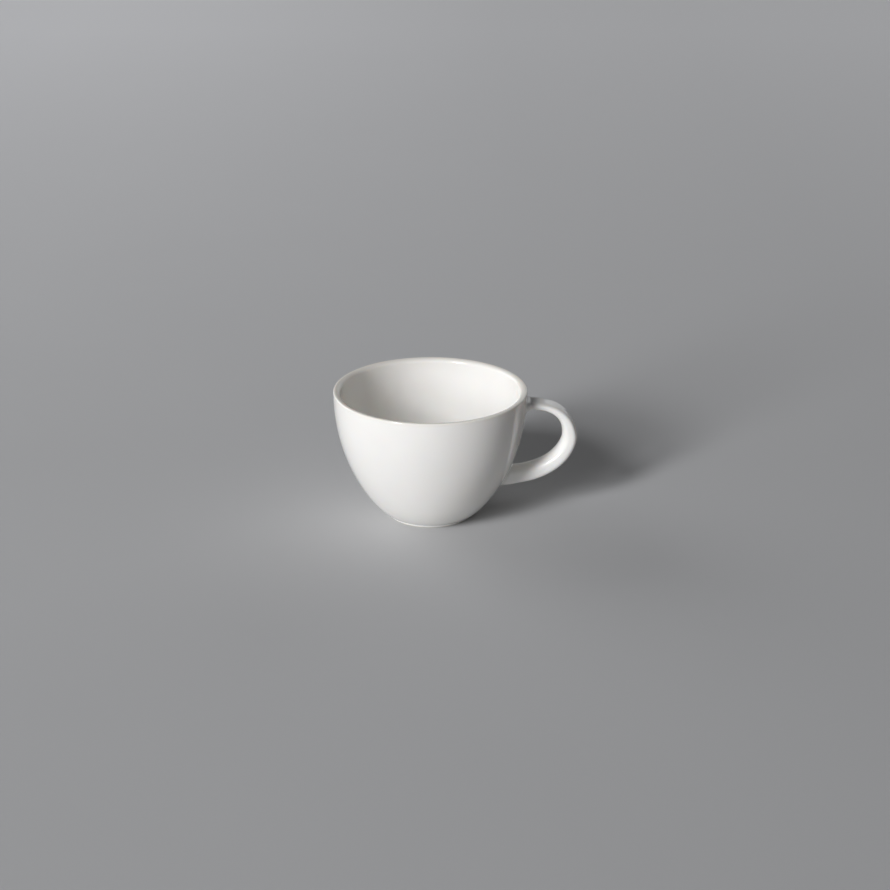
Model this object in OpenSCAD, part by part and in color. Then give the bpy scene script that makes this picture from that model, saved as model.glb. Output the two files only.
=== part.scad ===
// Small porcelain coffee cup with a strap handle.
// Millimetres, +Z up. The origin is on the bowl's axis, in the plane that the foot ring stands on,
// and the handle lies in the XZ plane on the +X side.

/* [Bowl] */
// Outer diameter across the rim
rim_d = 68; // [58:0.5:80]
// Height from the table to the top of the lip
cup_h = 46.5; // [40:0.5:56]
// Wall thickness at the lip
rim_wall = 2.5; // [1.8:0.1:3.4]
// Rounding of the lip's outer edge
lip_round = 0.5; // [0.3:0.05:0.8]
// Depth over which the lip's top rolls in to the inside of the wall
lip_depth = 1.25; // [0.9:0.05:2]
// Wall thickness where the bowl meets the foot ring
base_wall = 4.2; // [3.4:0.1:5.4]
// Floor thickness on the axis
floor_wall = 3.4; // [2.4:0.1:4.6]
// Angle at which the bowl leaves the foot ring, above level
base_slope = 3; // [0:1:15]
// Length over which the bowl holds that angle
base_pull = 3.1; // [2:0.1:6]
// Length over which the side stays upright below the lip
side_pull = 26.8; // [20:0.2:32]

/* [Foot ring] */
// Outer diameter of the foot ring at its top
foot_d = 30.8; // [26:0.2:36]
// Height of the foot ring
foot_h = 1; // [0.7:0.1:2]
// Width of the foot ring at its top
foot_w = 2.8; // [2:0.1:4]
// Draft of the ring's two sides, from upright
foot_draft = 10; // [2:1:20]
// Rounding of the ring's two lower edges
foot_round = 0.4; // [0.2:0.05:0.6]
// Depth of the recess inside the ring
recess_depth = 1.3; // [0.8:0.1:2]

/* [Handle] */
// Width of the strap
strap_w = 8.4; // [6:0.1:11]
// Strap thickness at the upper end
strap_t_upper = 2.5; // [2:0.1:3.4]
// Strap thickness at the outermost point
strap_t_bow = 5.4; // [4.2:0.1:6.4]
// Strap thickness at the lower end
strap_t_lower = 5.9; // [4.6:0.1:7]
// Squareness of the strap's section, where 2 is an oval
strap_square = 2.8; // [2:0.1:4]
// How far the handle stands out beyond the rim
handle_reach = 17.8; // [13:0.1:22]
// Drop from the lip to the middle of the upper joint
upper_drop = 5.4; // [5:0.1:7]
// Height of the middle of the lower joint above the table
lower_rise = 14.1; // [11:0.1:16]
// Drop from the upper joint to the outermost point
bow_drop = 11.9; // [10:0.1:14]
// Angle at which the strap leaves the wall at the upper joint, above level
upper_angle = 10.4; // [0:0.1:20]
// Length over which the strap holds that angle
upper_pull = 15.3; // [11:0.1:18]
// Angle at which the strap leaves the wall at the lower joint, below level
lower_angle = 2.3; // [0:0.1:8]
// Length over which the strap holds that angle
lower_pull = 19.5; // [16:0.1:24]
// Length over which the strap stays upright above and below its outermost point
bow_pull = 2.1; // [1.4:0.1:3.5]

/* [Joints] */
// Thickness of the slip between the wall and the strap
slip_t = 0.35; // [0.2:0.05:0.8]
// Radius of the fillet that the slip is wiped to round the strap
slip_fillet = 1.4; // [0.8:0.1:2]
// Extra strap width at a joint
flare_w = 1; // [0:0.1:2.5]
// Extra strap thickness at a joint
flare_t = 0.8; // [0:0.1:2]
// Distance over which the strap flares out towards a joint
flare_run = 7; // [3:0.1:9]

/* [Hidden] */

rim_r = rim_d / 2;
foot_r = foot_d / 2;
// Segments along a curve of the bowl, round an edge, and round the axis
curve_steps = 36;
edge_steps = 6;
$fn = 240;
// Rings along each half of the strap, and sides round it
half_rings = 30;
strap_sides = 32;
// How far the strap is drawn on inside the wall, before the wall trims it
sunk_run = 5;
// Rings of the strap, counted from its end, within which its joint lies
joint_rings = 15;
// The fillet's arc, from near the wall to near the strap, and its segments
fillet_from = 65;
fillet_to = 12;
fillet_steps = 5;

porcelain = [0.95, 0.945, 0.93];
slip_white = [0.92, 0.915, 0.9];

// Cubic curve through control points p, and its direction
function curve_at(p, t) =
    pow(1 - t, 3) * p[0] + 3 * pow(1 - t, 2) * t * p[1] + 3 * (1 - t) * t * t * p[2] + t * t * t * p[3];
function curve_run(p, t) =
    3 * pow(1 - t, 2) * (p[1] - p[0]) + 6 * (1 - t) * t * (p[2] - p[1]) + 3 * t * t * (p[3] - p[2]);
function unit(v) = v / norm(v);
function heading(angle) = [cos(angle), sin(angle)];
// Points round an arc, without its first one
function arc(centre, radius, from, to) =
    [for (i = [1 : edge_steps]) centre + radius * heading(from + (to - from) * i / edge_steps)];

// Outer side of the bowl as radius and height, from the foot ring up to the lip
side_low = [foot_r, foot_h];
side_top = [rim_r, cup_h - lip_depth];
side_curve = [side_low, side_low + base_pull * heading(base_slope), side_top - [0, side_pull], side_top];
function side_out(t) = let (run = unit(curve_run(side_curve, t))) [run[1], -run[0]];
function side_at(t, grow) = curve_at(side_curve, t) + grow * side_out(t);
// The wall thickens evenly towards the foot
function wall_at(t) = rim_wall + (base_wall - rim_wall) * pow(1 - t, 2);
// Where on the side a height lies, by halving the interval
function side_t(z, low = 0, high = 1, halvings = 30) =
    let (middle = (low + high) / 2)
    halvings == 0 ? middle
    : curve_at(side_curve, middle)[1] < z ? side_t(z, middle, high, halvings - 1)
    : side_t(z, low, middle, halvings - 1);

outer_side = [for (i = [0 : curve_steps]) side_at(i / curve_steps, 0)];
inner_side = [for (i = [curve_steps - 1 : -1 : 0]) side_at(i / curve_steps, -wall_at(i / curve_steps))];

// Inside of the floor, from the wall's lower end to the axis
floor_edge = side_at(0, -base_wall);
floor_top = recess_depth + floor_wall;
floor_pull = floor_edge[0] / 3;
floor_curve = [
    floor_edge,
    floor_edge - floor_pull * heading(base_slope),
    [floor_pull, floor_top],
    [0, floor_top]
];
inner_floor = [for (i = [1 : edge_steps * 2]) curve_at(floor_curve, i / (edge_steps * 2))];

// Foot ring and recess, from the axis out to the foot of the side
ring_out = foot_r - (foot_h - foot_round) * tan(foot_draft);
ring_in = foot_r - foot_w;
ring_in_low = ring_in + (recess_depth - foot_round) * tan(foot_draft);
foot_profile = concat(
    [[0, recess_depth], [ring_in, recess_depth], [ring_in_low, foot_round]],
    arc([ring_in_low + foot_round, foot_round], foot_round, 180, 270),
    [[ring_out - foot_round, 0]],
    arc([ring_out - foot_round, foot_round], foot_round, 270, 360)
);
// The lip's outer edge, then its top down to the inside of the wall
lip_edge = [rim_r - lip_round, cup_h - lip_round];
lip_top_w = rim_wall - lip_round;
function lip_top(turn) = [lip_edge[0] - lip_top_w * sin(turn), cup_h - lip_depth * (1 - cos(turn))];
lip_profile = concat(
    [lip_edge + [lip_round, 0]],
    arc(lip_edge, lip_round, 0, 90),
    [for (i = [1 : edge_steps * 2]) lip_top(90 * i / (edge_steps * 2))]
);

// The bowl's outer shape as a filled solid, grown outwards by a layer
module filled_bowl(layer) {
    sides = [for (i = [0 : curve_steps]) side_at(i / curve_steps, layer)];
    rotate_extrude()
        polygon(concat([[0, sides[0][1]]], sides, [[0, sides[curve_steps][1]]]));
}

// Middle line of the strap in the XZ plane, from inside the wall round to inside the wall
upper_joint = let (z = cup_h - upper_drop) [curve_at(side_curve, side_t(z))[0], z];
lower_joint = [curve_at(side_curve, side_t(lower_rise))[0], lower_rise];
bow_point = [rim_r + handle_reach - strap_t_bow / 2, upper_joint[1] - bow_drop];
upper_half = [
    upper_joint - sunk_run * heading(upper_angle),
    upper_joint + upper_pull * heading(upper_angle),
    bow_point + [0, bow_pull],
    bow_point
];
lower_half = [
    bow_point,
    bow_point - [0, bow_pull],
    lower_joint + lower_pull * heading(-lower_angle),
    lower_joint - sunk_run * heading(-lower_angle)
];

// A place on the strap runs from 0 at the upper end to 2 at the lower end
function strap_middle(s) = s < 1 ? curve_at(upper_half, s) : curve_at(lower_half, s - 1);
function strap_run(s) = unit(s < 1 ? curve_run(upper_half, s) : curve_run(lower_half, s - 1));
function flare_by(point, joint) = pow(max(0, 1 - norm(point - joint) / flare_run), 2);
function flare(s) = flare_by(strap_middle(s), upper_joint) + flare_by(strap_middle(s), lower_joint);
function ease(x) = x * x * (3 - 2 * x);
function plain_t(s) =
    s < 1 ? strap_t_upper + (strap_t_bow - strap_t_upper) * ease(s)
    : strap_t_bow + (strap_t_lower - strap_t_bow) * ease(s - 1);
function half_t(s) = (plain_t(s) + flare_t * flare(s)) / 2;
function half_w(s) = (strap_w + flare_w * flare(s)) / 2;

// The strap's skin is a squared oval across the middle line: its points and its outward directions,
// by the place along the strap and the side round it
function rounded(x, power) = sign(x) * pow(abs(x), power);
function side_turn(side) = 360 * (side + 0.5) / strap_sides;
function across_out(s, across, out) = let (run = strap_run(s)) [-out * run[1], across, out * run[0]];
function skin_at(s, side) =
    let (
        middle = strap_middle(s),
        turn = side_turn(side),
        across = half_w(s) * rounded(cos(turn), 2 / strap_square),
        out = half_t(s) * rounded(sin(turn), 2 / strap_square)
    )
    [middle[0], 0, middle[1]] + across_out(s, across, out);
function skin_out(s, side) =
    let (turn = side_turn(side), power = 2 - 2 / strap_square)
    unit(across_out(s, rounded(cos(turn), power) / half_w(s), rounded(sin(turn), power) / half_t(s)));

// The wall's outward direction near a point, and the point's height above the wall
function wall_out(p) =
    let (out = side_out(side_t(p[2])), r = norm([p[0], p[1]]))
    [out[0] * p[0] / r, out[0] * p[1] / r, out[1]];
function above_wall(p) =
    let (t = side_t(p[2]))
    (norm([p[0], p[1]]) - curve_at(side_curve, t)[0]) * side_out(t)[0];
// Place on the strap where a line of its skin is a given height above the wall, by halving the interval
function skin_place(side, height, inside, outside, halvings = 24) =
    let (middle = (inside + outside) / 2)
    halvings == 0 ? middle
    : above_wall(skin_at(middle, side)) < height ? skin_place(side, height, middle, outside, halvings - 1)
    : skin_place(side, height, inside, middle, halvings - 1);

// A point of the slip's fillet: at a height above the wall, and beside the strap along the wall
function fillet_at(side, height, beside, inside, outside) =
    let (
        s = skin_place(side, height, inside, outside),
        touch = skin_at(s, side),
        up = wall_out(touch),
        away = skin_out(s, side)
    )
    touch + beside * unit(away - (away * up) * up);
// The fillet's hollow section as heights and widths. It starts straight, from just under the wall's
// surface, so that the two surfaces cross cleanly
function fillet_step(turn) = slip_fillet * [1 - sin(turn), 1 - cos(turn)];
fillet_low = fillet_step(fillet_from);
fillet_root = [-slip_t, fillet_low[1] + (fillet_low[0] + slip_t) * tan(fillet_from)];
fillet_turns = [for (i = [0 : fillet_steps]) fillet_from + (fillet_to - fillet_from) * i / fillet_steps];
fillet_section = concat([fillet_root], [for (turn = fillet_turns) fillet_step(turn)]);

// A closed skin over rings of points, with a fan over each end
module skin(rings) {
    sides = len(rings[0]);
    last = sides * (len(rings) - 1);
    tips = [for (ring = [rings[0], rings[len(rings) - 1]]) [for (p = ring) 1 / sides] * ring];
    points = concat([for (ring = rings) each ring], tips);
    walls = [for (i = [0 : len(rings) - 2]) for (k = [0 : sides - 1])
        let (a = i * sides + k, b = i * sides + (k + 1) % sides)
        each [[a, b + sides, b], [a, a + sides, b + sides]]];
    ends = [for (k = [0 : sides - 1]) let (next = (k + 1) % sides)
        each [[k, next, last + sides], [last + next, last + k, last + sides + 1]]];
    polyhedron(points, concat(walls, ends));
}

// A run of the strap between two of its rings, trimmed to the wall with room for the slip
module trimmed_strap(first, last) {
    difference() {
        skin([for (i = [first : last]) [for (side = [0 : strap_sides - 1]) skin_at(i / half_rings, side)]]);
        filled_bowl(slip_t);
    }
}

// A joint's slip: the pad between the wall and the strap, wiped to a fillet all round
module joint_slip(inside, outside, first, last) {
    rings = [for (step = fillet_section)
        [for (side = [0 : strap_sides - 1]) fillet_at(side, step[0], step[1], inside, outside)]];
    top = len(rings) - 1;
    color(slip_white)
        difference() {
            skin([for (i = [0 : top]) rings[inside < outside ? i : top - i]]);
            filled_bowl(0);
            trimmed_strap(first, last);
        }
}

module cup_body() {
    color(porcelain)
        rotate_extrude()
            polygon(concat(foot_profile, outer_side, lip_profile, inner_side, inner_floor));
}

module handle() {
    color(porcelain)
        trimmed_strap(0, 2 * half_rings);
}

module upper_joint_slip() {
    joint_slip(0, joint_rings / half_rings, 0, joint_rings);
}

module lower_joint_slip() {
    joint_slip(2, 2 - joint_rings / half_rings, 2 * half_rings - joint_rings, 2 * half_rings);
}

cup_body();
handle();
upper_joint_slip();
lower_joint_slip();
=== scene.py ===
# A small porcelain coffee cup: the bowl, its strap handle and the slip that joins them.
from math import copysign, cos, pi, radians, sin, tan

import bmesh
import bpy
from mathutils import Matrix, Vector
from mathutils.geometry import interpolate_bezier


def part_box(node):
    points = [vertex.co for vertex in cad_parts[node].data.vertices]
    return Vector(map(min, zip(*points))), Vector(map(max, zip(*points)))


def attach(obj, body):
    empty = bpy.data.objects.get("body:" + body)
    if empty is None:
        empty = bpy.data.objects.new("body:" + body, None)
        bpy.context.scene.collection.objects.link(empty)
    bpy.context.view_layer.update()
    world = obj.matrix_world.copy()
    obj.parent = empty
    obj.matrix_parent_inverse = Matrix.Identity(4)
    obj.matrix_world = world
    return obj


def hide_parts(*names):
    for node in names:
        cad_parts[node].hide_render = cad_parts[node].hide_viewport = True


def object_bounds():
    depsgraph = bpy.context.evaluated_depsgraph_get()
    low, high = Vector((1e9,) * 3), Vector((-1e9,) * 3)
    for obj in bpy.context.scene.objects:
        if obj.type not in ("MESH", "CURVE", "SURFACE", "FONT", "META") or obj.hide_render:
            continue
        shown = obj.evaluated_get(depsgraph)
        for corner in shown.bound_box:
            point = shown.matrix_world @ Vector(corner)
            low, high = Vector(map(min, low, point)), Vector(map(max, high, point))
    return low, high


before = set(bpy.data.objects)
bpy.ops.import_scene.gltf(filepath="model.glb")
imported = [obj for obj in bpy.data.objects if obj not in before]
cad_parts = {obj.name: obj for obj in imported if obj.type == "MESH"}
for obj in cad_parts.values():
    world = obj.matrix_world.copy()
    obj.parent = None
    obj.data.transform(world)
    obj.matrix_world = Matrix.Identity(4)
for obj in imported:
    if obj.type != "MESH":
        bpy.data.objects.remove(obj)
cad_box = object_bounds()

MM = 0.001

# The bowl. Its rim and height come from the solid, and the rest are the sizes that it was made to
body_low, body_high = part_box("cup_body")
RIM_R = -body_low.x
CUP_H = body_high.z
RIM_WALL = 2.5 * MM
LIP_ROUND = 0.5 * MM
LIP_DEPTH = 1.25 * MM
BASE_WALL = 4.2 * MM
FLOOR_WALL = 3.4 * MM
BASE_SLOPE = radians(3)
BASE_PULL = 3.1 * MM
SIDE_PULL = 26.8 * MM

# The foot ring, with the glaze run into the corners above it
FOOT_R = 15.4 * MM
FOOT_H = 1 * MM
FOOT_W = 2.8 * MM
FOOT_DRAFT = radians(10)
FOOT_ROUND = 0.4 * MM
RECESS_DEPTH = 1.3 * MM
GLAZE_FILLET = 0.5 * MM
# Length of the side's lower end that the glaze covers
GLAZE_RUN = 0.75 * MM

# The strap handle. Its section is squarer outside than inside, where the finger goes
STRAP_W = 8.4 * MM
STRAP_T_UPPER = 2.5 * MM
STRAP_T_BOW = 5.4 * MM
STRAP_T_LOWER = 5.9 * MM
STRAP_SQUARE_OUT = 3.6
STRAP_SQUARE_IN = 2.3
BOW_REACH = cad_box[1].x - STRAP_T_BOW / 2
UPPER_DROP = 5.4 * MM
LOWER_RISE = 14.1 * MM
BOW_DROP = 11.9 * MM
UPPER_ANGLE = radians(10.4)
UPPER_PULL = 15.3 * MM
LOWER_ANGLE = radians(-2.3)
LOWER_PULL = 19.5 * MM
BOW_PULL = 2.1 * MM
SUNK_RUN = 5 * MM

# The joints
SLIP_T = 0.35 * MM
SLIP_FILLET = 1.4 * MM
FLARE_W = 1 * MM
FLARE_T = 0.8 * MM
FLARE_RUN = 7 * MM
# Share of each half of the strap within which its joint lies
JOINT_ZONE = 0.5
# How far the slip's thin edges stand proud of the wall and the strap
FEATHER = 0.003 * MM

# How finely the pieces are drawn
TURN_STEPS = 192
SIDE_STEPS = 60
FLOOR_STEPS = 16
LIP_STEPS = 12
CORNER_STEPS = 6
STRAP_SIDES = 72
STRAP_RINGS = 120
FILLET_STEPS = 12
CAP_ROWS = 4
HALVINGS = 26
TINY = 0.0001 * MM
CREASE = radians(40)
# How far a cubic curve's handles go towards the corner that it rounds, so that it follows an arc
ARC_PULL = 0.55


# Lines and curves

def flat(x, z):
    """A point of the bowl's outline or the strap's middle line, which lie in the XZ plane."""
    return Vector((x, 0, z))


def heading(angle):
    """The direction at an angle above level, in the same plane."""
    return flat(cos(angle), sin(angle))


def curve_at(curve, t):
    """A point of the cubic curve with these four control points."""
    a, b, c, d = curve
    return a * (1 - t) ** 3 + b * (3 * t * (1 - t) ** 2) + c * (3 * t * t * (1 - t)) + d * t ** 3


def curve_run(curve, t):
    """The curve's direction at that point."""
    a, b, c, d = curve
    return ((b - a) * (1 - t) ** 2 + (c - b) * (2 * t * (1 - t)) + (d - c) * (t * t)).normalized()


def rounded(before, corner, after, radius):
    """A corner's rounding, as a curve between the points where it leaves the two straight sides."""
    first = (before - corner).normalized()
    second = (after - corner).normalized()
    reach = radius / tan(first.angle(second) / 2)
    start = corner + first * reach
    end = corner + second * reach
    leave = start.lerp(corner, ARC_PULL)
    arrive = end.lerp(corner, ARC_PULL)
    return interpolate_bezier(start, leave, arrive, end, CORNER_STEPS)


def halved(is_before, low, high):
    """The place between low and high up to which a test holds, found by halving."""
    for _ in range(HALVINGS):
        middle = (low + high) / 2
        if is_before(middle):
            low = middle
        else:
            high = middle
    return (low + high) / 2


# The bowl's side

SIDE_LOW = flat(FOOT_R, FOOT_H)
SIDE_TOP = flat(RIM_R, CUP_H - LIP_DEPTH)
SIDE = (SIDE_LOW, SIDE_LOW + heading(BASE_SLOPE) * BASE_PULL, SIDE_TOP - flat(0, SIDE_PULL), SIDE_TOP)


def side_out(t):
    """The direction square to the side, out of the wall."""
    run = curve_run(SIDE, t)
    return flat(run.z, -run.x)


def side_t(z):
    """Where along the side that height is."""
    return halved(lambda t: curve_at(SIDE, t).z < z, 0, 1)


def inner_side(t):
    """The inside of the wall, which thickens towards the foot."""
    wall = RIM_WALL + (BASE_WALL - RIM_WALL) * (1 - t) ** 2
    return curve_at(SIDE, t) - side_out(t) * wall


def above_wall(point):
    """How far a point lies above the outside of the wall."""
    t = side_t(point.z)
    return (point.xy.length - curve_at(SIDE, t).x) * side_out(t).x


def on_wall(point, height):
    """The point moved level until it is at that height above the wall."""
    t = side_t(point.z)
    level = point.xy.normalized() * (curve_at(SIDE, t).x + height / side_out(t).x)
    return Vector((level.x, level.y, point.z))


def wall_out(point):
    """The direction out of the wall at the point's height and side of the bowl."""
    out = side_out(side_t(point.z))
    level = point.xy.normalized() * out.x
    return Vector((level.x, level.y, out.z))


def foot_outline(side_start):
    """From the axis under the cup, round the foot ring, to the start of the side."""
    ring_in = FOOT_R - FOOT_W
    corners = [
        flat(0, RECESS_DEPTH),
        flat(ring_in, RECESS_DEPTH),
        flat(ring_in + RECESS_DEPTH * tan(FOOT_DRAFT), 0),
        flat(FOOT_R - FOOT_H * tan(FOOT_DRAFT), 0),
        SIDE_LOW,
        side_start,
    ]
    radii = [GLAZE_FILLET, FOOT_ROUND, FOOT_ROUND, GLAZE_FILLET]
    points = corners[:1]
    for before, corner, after, radius in zip(corners, corners[1:], corners[2:], radii):
        points += rounded(before, corner, after, radius)
    return points


def bowl_outline():
    """The bowl's section, from the axis under the cup, round the lip, to the axis inside."""
    steps = [i / SIDE_STEPS for i in range(SIDE_STEPS + 1)]
    outside = [curve_at(SIDE, t) for t in steps]
    outside = [point for point in outside if (point - SIDE_LOW).length > GLAZE_RUN]
    edge = flat(RIM_R - LIP_ROUND, CUP_H - LIP_ROUND)
    turns = [pi / 2 * i / LIP_STEPS for i in range(LIP_STEPS + 1)]
    lip = [edge + heading(turn) * LIP_ROUND for turn in turns]
    top = flat(edge.x, SIDE_TOP.z)
    top_w = RIM_WALL - LIP_ROUND
    lip += [top + flat(-top_w * sin(turn), LIP_DEPTH * cos(turn)) for turn in turns[1:-1]]
    inside = [inner_side(t) for t in reversed(steps)]
    # The wall's inside ends where it runs level, and the floor goes on from there
    floor_edge = min(inside, key=lambda point: point.z)
    inside = inside[:inside.index(floor_edge)]
    floor_middle = flat(0, RECESS_DEPTH + FLOOR_WALL)
    pull = flat(floor_edge.x / 3, 0)
    floor = interpolate_bezier(floor_edge, floor_edge - pull, floor_middle + pull, floor_middle, FLOOR_STEPS)
    return foot_outline(outside[0]) + outside + lip + inside + floor


# The strap

UPPER_Z = CUP_H - UPPER_DROP
UPPER_JOINT = flat(curve_at(SIDE, side_t(UPPER_Z)).x, UPPER_Z)
LOWER_JOINT = flat(curve_at(SIDE, side_t(LOWER_RISE)).x, LOWER_RISE)
BOW = flat(BOW_REACH, UPPER_Z - BOW_DROP)
UPPER_HALF = (
    UPPER_JOINT - heading(UPPER_ANGLE) * SUNK_RUN,
    UPPER_JOINT + heading(UPPER_ANGLE) * UPPER_PULL,
    BOW + flat(0, BOW_PULL),
    BOW,
)
LOWER_HALF = (
    BOW,
    BOW - flat(0, BOW_PULL),
    LOWER_JOINT + heading(LOWER_ANGLE) * LOWER_PULL,
    LOWER_JOINT - heading(LOWER_ANGLE) * SUNK_RUN,
)


def powered(x, power):
    """A power of a number's size, with the number's sign."""
    return copysign(abs(x) ** power, x)


def squareness(out):
    """How square the strap's section is, on the half that lies out or in from its middle line."""
    return STRAP_SQUARE_OUT if out > 0 else STRAP_SQUARE_IN


# The strap's section at unit size is a squared oval, across the strap and out from its middle line
SECTION = []
for k in range(STRAP_SIDES):
    turn = 2 * pi * (k + 0.5) / STRAP_SIDES
    power = 2 / squareness(sin(turn))
    SECTION.append(Vector((powered(cos(turn), power), powered(sin(turn), power))))


def strap_at(s):
    """The strap's middle, run, half width and half thickness, from 0 at its upper to 2 at its lower end."""
    if s < 1:
        half, t, first, last = UPPER_HALF, s, STRAP_T_UPPER, STRAP_T_BOW
    else:
        half, t, first, last = LOWER_HALF, s - 1, STRAP_T_BOW, STRAP_T_LOWER
    middle = curve_at(half, t)
    from_joint = min((middle - UPPER_JOINT).length, (middle - LOWER_JOINT).length)
    flare = max(0, 1 - from_joint / FLARE_RUN) ** 2
    thickness = first + (last - first) * t * t * (3 - 2 * t) + FLARE_T * flare
    return middle, curve_run(half, t), (STRAP_W + FLARE_W * flare) / 2, thickness / 2


def skin_at(s, corner):
    """A point of the strap's skin, at a place along it and a corner of its section."""
    middle, run, half_w, half_t = strap_at(s)
    return middle + Vector((0, corner.x * half_w, 0)) + flat(-run.z, run.x) * (corner.y * half_t)


def skin_out(s, corner):
    """The direction out of the skin at that point."""
    middle, run, half_w, half_t = strap_at(s)
    power = squareness(corner.y) - 1
    across = powered(corner.x, power) / half_w
    out = powered(corner.y, power) / half_t
    return (Vector((0, across, 0)) + flat(-run.z, run.x) * out).normalized()


def strap_place(corner, height, inside, outside):
    """Where along the strap a corner of its section is at a height above the wall."""
    return halved(lambda s: above_wall(skin_at(s, corner)) < height, inside, outside)


def disc(ring, height):
    """Rows that fill a ring at a height above the wall, from its middle outwards."""
    middle = sum(ring, Vector()) / len(ring)
    shares = [i / CAP_ROWS for i in range(CAP_ROWS)]
    return [[on_wall(middle.lerp(point, share), height) for point in ring] for share in shares]


def handle_rows():
    """The strap, trimmed at both ends to the wall with room for the slip. No glaze pools or painted shade on
    it.
    """
    starts = [strap_place(corner, SLIP_T, 0, JOINT_ZONE) for corner in SECTION]
    ends = [strap_place(corner, SLIP_T, 2, 2 - JOINT_ZONE) for corner in SECTION]
    corners = list(zip(SECTION, starts, ends))
    rows = []
    for i in range(STRAP_RINGS + 1):
        share = i / STRAP_RINGS
        rows.append([skin_at(start + (end - start) * share, corner) for corner, start, end in corners])
    rows = disc(rows[0], SLIP_T) + rows + disc(rows[-1], SLIP_T)[::-1]
    return rows, [0] * len(rows)


def fillet_ring(height, beside, inside, outside):
    """A ring of the slip round the strap, at a height above the wall and a distance from the strap."""
    ring = []
    for corner in SECTION:
        s = strap_place(corner, height, inside, outside)
        touch = skin_at(s, corner)
        up = wall_out(touch)
        away = skin_out(s, corner)
        along = (away - up * away.dot(up)).normalized()
        ring.append(on_wall(touch + along * beside, height))
    return ring


def slip_rows(inside, outside):
    """The slip: a pad between wall and strap, wiped to a hollow fillet that runs out on both.
    With each row goes how deep the glaze has pooled there, from 0 to 1, which also greys the hollow as
    painted shade."""
    foot = fillet_ring(0, FEATHER + SLIP_FILLET, inside, outside)
    hollow = []
    for i in range(FILLET_STEPS + 1):
        turn = pi / 2 * (1 - i / FILLET_STEPS)
        height = FEATHER + SLIP_FILLET * (1 - sin(turn))
        beside = FEATHER + SLIP_FILLET * (1 - cos(turn))
        hollow.append(fillet_ring(height, beside, inside, outside))
    top = fillet_ring(FEATHER + SLIP_FILLET, 0, inside, outside)
    seat = fillet_ring(SLIP_T, 0, inside, outside)
    under = disc(foot, 0) + [foot]
    over = [top, seat] + disc(seat, SLIP_T)[::-1]
    # The glaze pools deepest mid-hollow, and the same depth paints shade into the joint
    pooled_and_shaded = [sin(pi * i / FILLET_STEPS) for i in range(FILLET_STEPS + 1)]
    pool_and_shade_depths = [0] * len(under) + pooled_and_shaded + [0] * len(over)
    return under + hollow + over, pool_and_shade_depths


# Making the pieces

def turned(outline):
    """An outline turned once round the bowl's axis."""
    mesh = bmesh.new()
    points = [mesh.verts.new(point) for point in outline]
    edges = [mesh.edges.new(pair) for pair in zip(points, points[1:])]
    axis = {"cent": (0, 0, 0), "axis": (0, 0, 1)}
    bmesh.ops.spin(mesh, geom=points + edges, angle=2 * pi, steps=TURN_STEPS, use_merge=True, **axis)
    return mesh


def skinned(rows, pool_and_shade_depths):
    """A grid laid over rows of points and closed round them, with each row's depth of pooled glaze and
    painted shade.
    """
    mesh = bmesh.new()
    around = len(rows[0])
    along = len(rows) - 1
    bmesh.ops.create_grid(mesh, x_segments=around, y_segments=along, size=0.5)
    pool_and_shade_depth = mesh.verts.layers.float.new("pool_and_shade_depth")
    for vert in mesh.verts:
        side = round((vert.co.x + 0.5) * around) % around
        row = round((vert.co.y + 0.5) * along)
        vert.co = rows[row][side]
        vert[pool_and_shade_depth] = pool_and_shade_depths[row]
    return mesh


def finished(name, mesh, material, node):
    """Closes a mesh, smooths it up to its creases and puts it in the place of its solid."""
    bmesh.ops.remove_doubles(mesh, verts=mesh.verts, dist=TINY)
    bmesh.ops.recalc_face_normals(mesh, faces=mesh.faces)
    for face in mesh.faces:
        face.smooth = True
    for edge in mesh.edges:
        edge.smooth = edge.calc_face_angle() < CREASE
    data = bpy.data.meshes.new(name)
    mesh.to_mesh(data)
    mesh.free()
    data.materials.append(material)
    piece = bpy.data.objects.new(name, data)
    bpy.context.scene.collection.objects.link(piece)
    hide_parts(node)
    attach(piece, "root")


# Materials

def linear(hex_colour):
    """An sRGB hex colour as linear RGBA."""
    parts = [int(hex_colour[i:i + 2], 16) / 255 for i in (1, 3, 5)]
    return [part / 12.92 if part <= 0.04045 else ((part + 0.055) / 1.055) ** 2.4 for part in parts] + [1]


# The porcelain's colours: fired under plain glaze, under thin and thick glaze, and bare
FIRED_PALE = linear("#F8F6F2")
FIRED_DULL = linear("#F2F0EB")
THIN_GLAZE = linear("#F0E9DC")
THICK_GLAZE_AND_SHADE = linear("#E2E1DC")
CLAY_PALE = linear("#E4DDD0")
CLAY_DULL = linear("#CFC6B6")
# Blots of the fired colour, waves of the glaze, and grain of the bare clay
BLOT_SIZE = 18 * MM
WAVE_SIZE = 4 * MM
WAVE_DEPTH = 0.006 * MM
GRAIN_SIZE = 0.5 * MM
GRAIN_DEPTH = 0.05 * MM
# How far down from the lip the glaze is thin, and how much that tints the fired colour
THIN_ZONE = 1.4 * MM
THIN_SHARE = 0.5
# Up to what height the glaze runs thick, how much it tints the colour there, and how much painted shade
# greys the joints' hollows
THICK_TOP = 9 * MM
THICK_SHARE = 0.35
HOLLOW_SHADE_SHARE = 0.6
# The foot ring is wiped bare up to the first height, and glazed from the second
WIPED_TOP = 0.2 * MM
GLAZE_START = 0.35 * MM
# Roughness of clean glaze, smeared glaze and bare clay
GLAZE_CLEAN = 0.07
GLAZE_SMEARED = 0.13
CLAY_ROUGH = 0.8
GLAZE_IOR = 1.5
# How deep light goes into the porcelain before it comes out again, red deeper than blue
SCATTER_DEPTH = 1.5 * MM
SCATTER_BY_COLOUR = (1.0, 0.8, 0.6)


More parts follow.
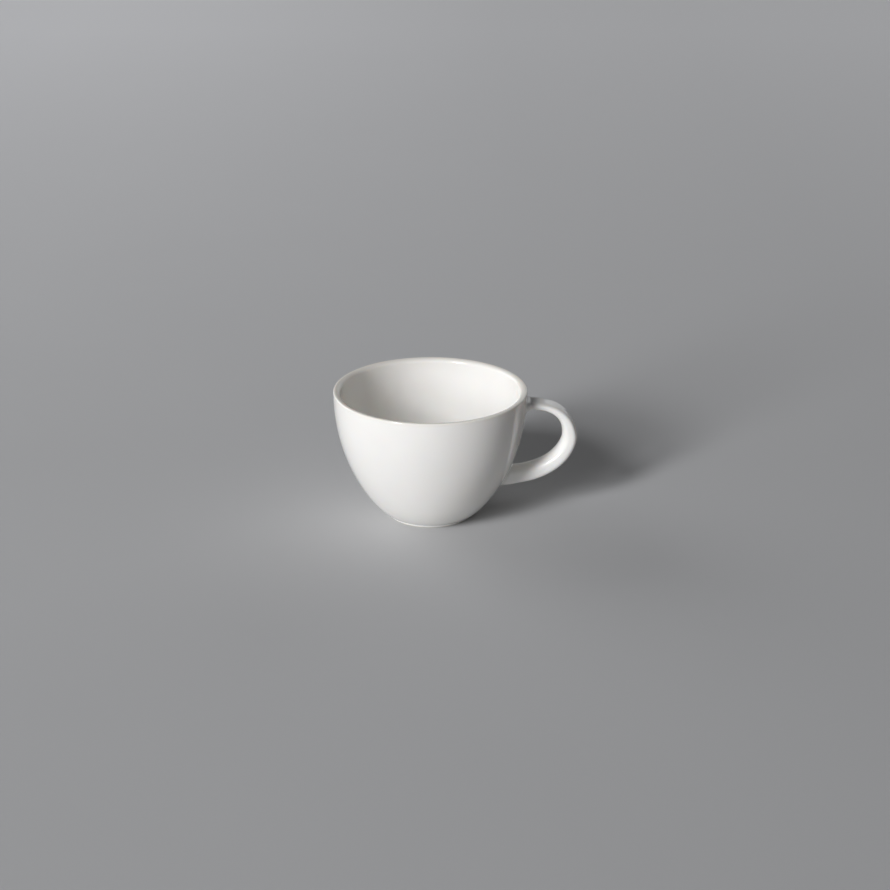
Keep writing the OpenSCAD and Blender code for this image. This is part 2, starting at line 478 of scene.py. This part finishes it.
def add(tree, kind, inputs=None, **settings):
    """Adds a node: its settings, and for its inputs plain values, other nodes' outputs, or whole nodes,
    which give their first output in use."""
    node = tree.nodes.new("ShaderNode" + kind)
    for name, value in settings.items():
        setattr(node, name, value)
    for name, value in (inputs or {}).items():
        if isinstance(value, bpy.types.Node):
            value = next(output for output in value.outputs if output.enabled)
        if isinstance(value, bpy.types.NodeSocket):
            tree.links.new(value, node.inputs[name])
        else:
            node.inputs[name].default_value = value
    return node


def new_material(name):
    """A material with no nodes yet, and its node tree."""
    material = bpy.data.materials.new(name)
    material.use_nodes = True
    material.node_tree.nodes.clear()
    return material, material.node_tree


def glazed_porcelain(name, scatter):
    """Warm white porcelain under a clear gloss glaze, which gives soft shading with small sharp lights.
    The glaze is thin and warm on the lip, pools a little greyer low down and in the joints' hollows, where
    the grey is also painted shade, and is wiped off the foot."""
    material, tree = new_material(name)
    place = add(tree, "TexCoord").outputs["Object"]
    height = add(tree, "SeparateXYZ", {"Vector": place}).outputs["Z"]

    # The fired colour, with its thin and its thick glaze, and painted shade in the joints' hollows
    blots = add(tree, "TexNoise", {"Vector": place, "Scale": 1 / BLOT_SIZE, "Detail": 2.0})
    fired = add(tree, "Mix", {"Factor": blots, "A": FIRED_PALE, "B": FIRED_DULL}, data_type="RGBA")
    lip_zone = {"From Min": CUP_H, "From Max": CUP_H - THIN_ZONE, "To Min": THIN_SHARE, "To Max": 0.0}
    thin = add(tree, "MapRange", {"Value": height, **lip_zone})
    lipped = add(tree, "Mix", {"Factor": thin, "A": fired, "B": THIN_GLAZE}, data_type="RGBA")
    low_zone = {"From Min": FOOT_H, "From Max": THICK_TOP, "To Min": THICK_SHARE, "To Max": 0.0}
    low = add(tree, "MapRange", {"Value": height, **low_zone})
    # The slip fillets' hollows are greyed both as pooled glaze and as painted shade where the joints lie in
    # shadow
    pool_and_shade_at = add(tree, "Attribute", attribute_name="pool_and_shade_depth").outputs["Fac"]
    hollow = add(tree, "Math", {0: pool_and_shade_at, 1: HOLLOW_SHADE_SHARE}, operation="MULTIPLY")
    pool_and_shade = add(tree, "Math", {0: low, 1: hollow}, operation="MAXIMUM")
    glazed = add(tree, "Mix", {"Factor": pool_and_shade, "A": lipped, "B": THICK_GLAZE_AND_SHADE}, data_type="RGBA")

    # The bare clay under the foot ring
    grain = add(tree, "TexNoise", {"Vector": place, "Scale": 1 / GRAIN_SIZE, "Detail": 4.0})
    clay = add(tree, "Mix", {"Factor": grain, "A": CLAY_PALE, "B": CLAY_DULL}, data_type="RGBA")
    foot_zone = {"From Min": WIPED_TOP, "From Max": GLAZE_START, "To Min": 1.0, "To Max": 0.0}
    wiped = add(tree, "MapRange", {"Value": height, **foot_zone})
    colour = add(tree, "Mix", {"Factor": wiped, "A": glazed, "B": clay}, data_type="RGBA")

    # Gloss and relief: faint waves in the glaze, pits in the clay
    smear = add(tree, "MapRange", {"Value": blots, "To Min": GLAZE_CLEAN, "To Max": GLAZE_SMEARED})
    roughness = add(tree, "Mix", {"Factor": wiped, "A": smear, "B": CLAY_ROUGH})
    waves = add(tree, "TexNoise", {"Vector": place, "Scale": 1 / WAVE_SIZE, "Detail": 1.0})
    peel = add(tree, "Math", {0: waves, 1: WAVE_DEPTH}, operation="MULTIPLY")
    pits = add(tree, "Math", {0: grain, 1: GRAIN_DEPTH}, operation="MULTIPLY")
    relief = add(tree, "Mix", {"Factor": wiped, "A": peel, "B": pits})
    bump = add(tree, "Bump", {"Height": relief, "Distance": 1.0})
    shader = add(
        tree, "BsdfPrincipled",
        {
            "Base Color": colour, "Roughness": roughness, "IOR": GLAZE_IOR, "Normal": bump,
            "Subsurface Weight": scatter, "Subsurface Scale": SCATTER_DEPTH,
            "Subsurface Radius": SCATTER_BY_COLOUR,
        },
    )
    add(tree, "OutputMaterial", {"Surface": shader})
    return material


# The slip's fillets are too thin to scatter light inside them as the wall and the strap do
porcelain = glazed_porcelain("glazed_porcelain", 0.3)
slip = glazed_porcelain("glazed_slip", 0.0)
finished("glazed_bowl", turned(bowl_outline()), porcelain, "cup_body")
finished("glazed_handle", skinned(*handle_rows()), porcelain, "handle")
finished("upper_slip_fillet", skinned(*slip_rows(0, JOINT_ZONE)), slip, "upper_joint_slip")
finished("lower_slip_fillet", skinned(*slip_rows(2, 2 - JOINT_ZONE)), slip, "lower_joint_slip")


# The studio: a paper floor, a tall soft light from the front left, and weak ones from other sides

FLOOR_SIZE = 12
CLOUD_SIZE = 90 * MM
PAPER_PALE = linear("#CACACA")
PAPER_DULL = linear("#C6C6C6")
PAPER_PAINTED_SHADE = linear("#B5B5B5")
PAPER_PAINTED_LIGHT = linear("#E6E6E7")
# Painted shade: the paper darkens from this far left of the cup to as far right of it, as a near lamp's
# light would fall off
SHADE_REACH = 0.2
# Painted light: it gets lighter between the near and the far place behind the cup, more at the left place
# than at the right
LIGHTER_NEAR = 0.05
LIGHTER_FAR = 0.95
LIGHTER_LEFT = -0.3
LIGHTER_RIGHT = 0.05
LEFT_SHARE = 0.95
RIGHT_SHARE = 0.43
PAPER_ROUGH = 0.85


def matt_paper():
    """Matt grey paper, a little uneven, with painted light and shade: lighter to the left and far behind the
    cup, darker to the right.
    """
    material, tree = new_material("matt_paper_sweep")
    place = add(tree, "TexCoord").outputs["Object"]
    across = add(tree, "SeparateXYZ", {"Vector": place}).outputs
    cloud = add(tree, "TexNoise", {"Vector": place, "Scale": 1 / CLOUD_SIZE, "Detail": 2.0})
    paper = add(tree, "Mix", {"Factor": cloud, "A": PAPER_PALE, "B": PAPER_DULL}, data_type="RGBA")
    painted_shade_share = add(tree, "MapRange", {"Value": across["X"], "From Min": -SHADE_REACH, "From Max": SHADE_REACH})
    painted_shaded = add(tree, "Mix", {"Factor": painted_shade_share, "A": paper, "B": PAPER_PAINTED_SHADE}, data_type="RGBA")
    back = add(tree, "MapRange", {"Value": across["Y"], "From Min": LIGHTER_NEAR, "From Max": LIGHTER_FAR})
    left_end = {"From Min": LIGHTER_LEFT, "To Min": LEFT_SHARE}
    right_end = {"From Max": LIGHTER_RIGHT, "To Max": RIGHT_SHARE}
    side = add(tree, "MapRange", {"Value": across["X"], **left_end, **right_end})
    painted_glow = add(tree, "Math", {0: back, 1: side}, operation="MULTIPLY")
    painted_lighter = add(tree, "Mix", {"Factor": painted_glow, "A": painted_shaded, "B": PAPER_PAINTED_LIGHT}, data_type="RGBA")
    shader = add(tree, "BsdfPrincipled", {"Base Color": painted_lighter, "Roughness": PAPER_ROUGH})
    add(tree, "OutputMaterial", {"Surface": shader})
    return material


floor_mesh = bmesh.new()
bmesh.ops.create_grid(floor_mesh, x_segments=1, y_segments=1, size=FLOOR_SIZE / 2)
floor_data = bpy.data.meshes.new("floor")
floor_mesh.to_mesh(floor_data)
floor_mesh.free()
floor_data.materials.append(matt_paper())
floor = bpy.data.objects.new("floor", floor_data)
bpy.context.scene.collection.objects.link(floor)


LAMP_COLOUR = linear("#FBFCFF")


def soft_light(name, turn, elevation, spread, level):
    """A far, wide light. Its turn goes left from the camera's side, and level 1 lights white to white."""
    lamp = bpy.data.lights.new(name, "SUN")
    lamp.angle = radians(spread)
    lamp.energy = pi * level
    lamp.color = LAMP_COLOUR[:3]
    light = bpy.data.objects.new(name, lamp)
    around = radians(turn)
    up = radians(elevation)
    source = Vector((-sin(around) * cos(up), -cos(around) * cos(up), sin(up)))
    light.rotation_euler = source.to_track_quat("Z", "Y").to_euler()
    bpy.context.scene.collection.objects.link(light)


# The tall light is made of three round ones, one above the other
for elevation, level in ((12, 0.24), (24, 0.41), (36, 0.32)):
    soft_light("key", turn=39.5, elevation=elevation, spread=12, level=level)
soft_light("side", turn=125, elevation=22, spread=40, level=0.22)
soft_light("back", turn=-150, elevation=12, spread=40, level=0.09)
soft_light("fill", turn=0, elevation=12, spread=60, level=0.09)

# The room gives a little light, and looks as pale as the floor to the camera and in the glaze
AMBIENT = 0.01
BACKDROP = 0.3
world = bpy.data.worlds.new("studio")
world.use_nodes = True
room = world.node_tree
room.nodes.clear()
rays = add(room, "LightPath").outputs
seen = add(room, "Math", {0: rays["Is Camera Ray"], 1: rays["Is Glossy Ray"]}, operation="MAXIMUM")
seen = add(room, "Math", {0: seen, 1: rays["Is Transmission Ray"]}, operation="MAXIMUM")
strength = add(room, "Mix", {"Factor": seen, "A": AMBIENT, "B": BACKDROP})
walls = add(room, "Background", {"Color": linear("#FFFFFF"), "Strength": strength})
add(room, "OutputWorld", {"Surface": walls})
bpy.context.scene.world = world

# The camera looks along +Y and down, with the cup a little left of the middle
VIEW_ELEVATION = radians(22)
VIEW_DISTANCE = 700 * MM
VIEW_AIM = Vector((5.13, 0.89, 24.95)) * MM
VIEW_LENS = 79.8
lens = bpy.data.cameras.new("camera")
lens.lens = VIEW_LENS
camera = bpy.data.objects.new("camera", lens)
towards_camera = Vector((0, -cos(VIEW_ELEVATION), sin(VIEW_ELEVATION)))
camera.location = VIEW_AIM + towards_camera * VIEW_DISTANCE
camera.rotation_euler = towards_camera.to_track_quat("Z", "Y").to_euler()
bpy.context.scene.collection.objects.link(camera)
bpy.context.scene.camera = camera
bpy.context.scene.view_settings.view_transform = "Standard"
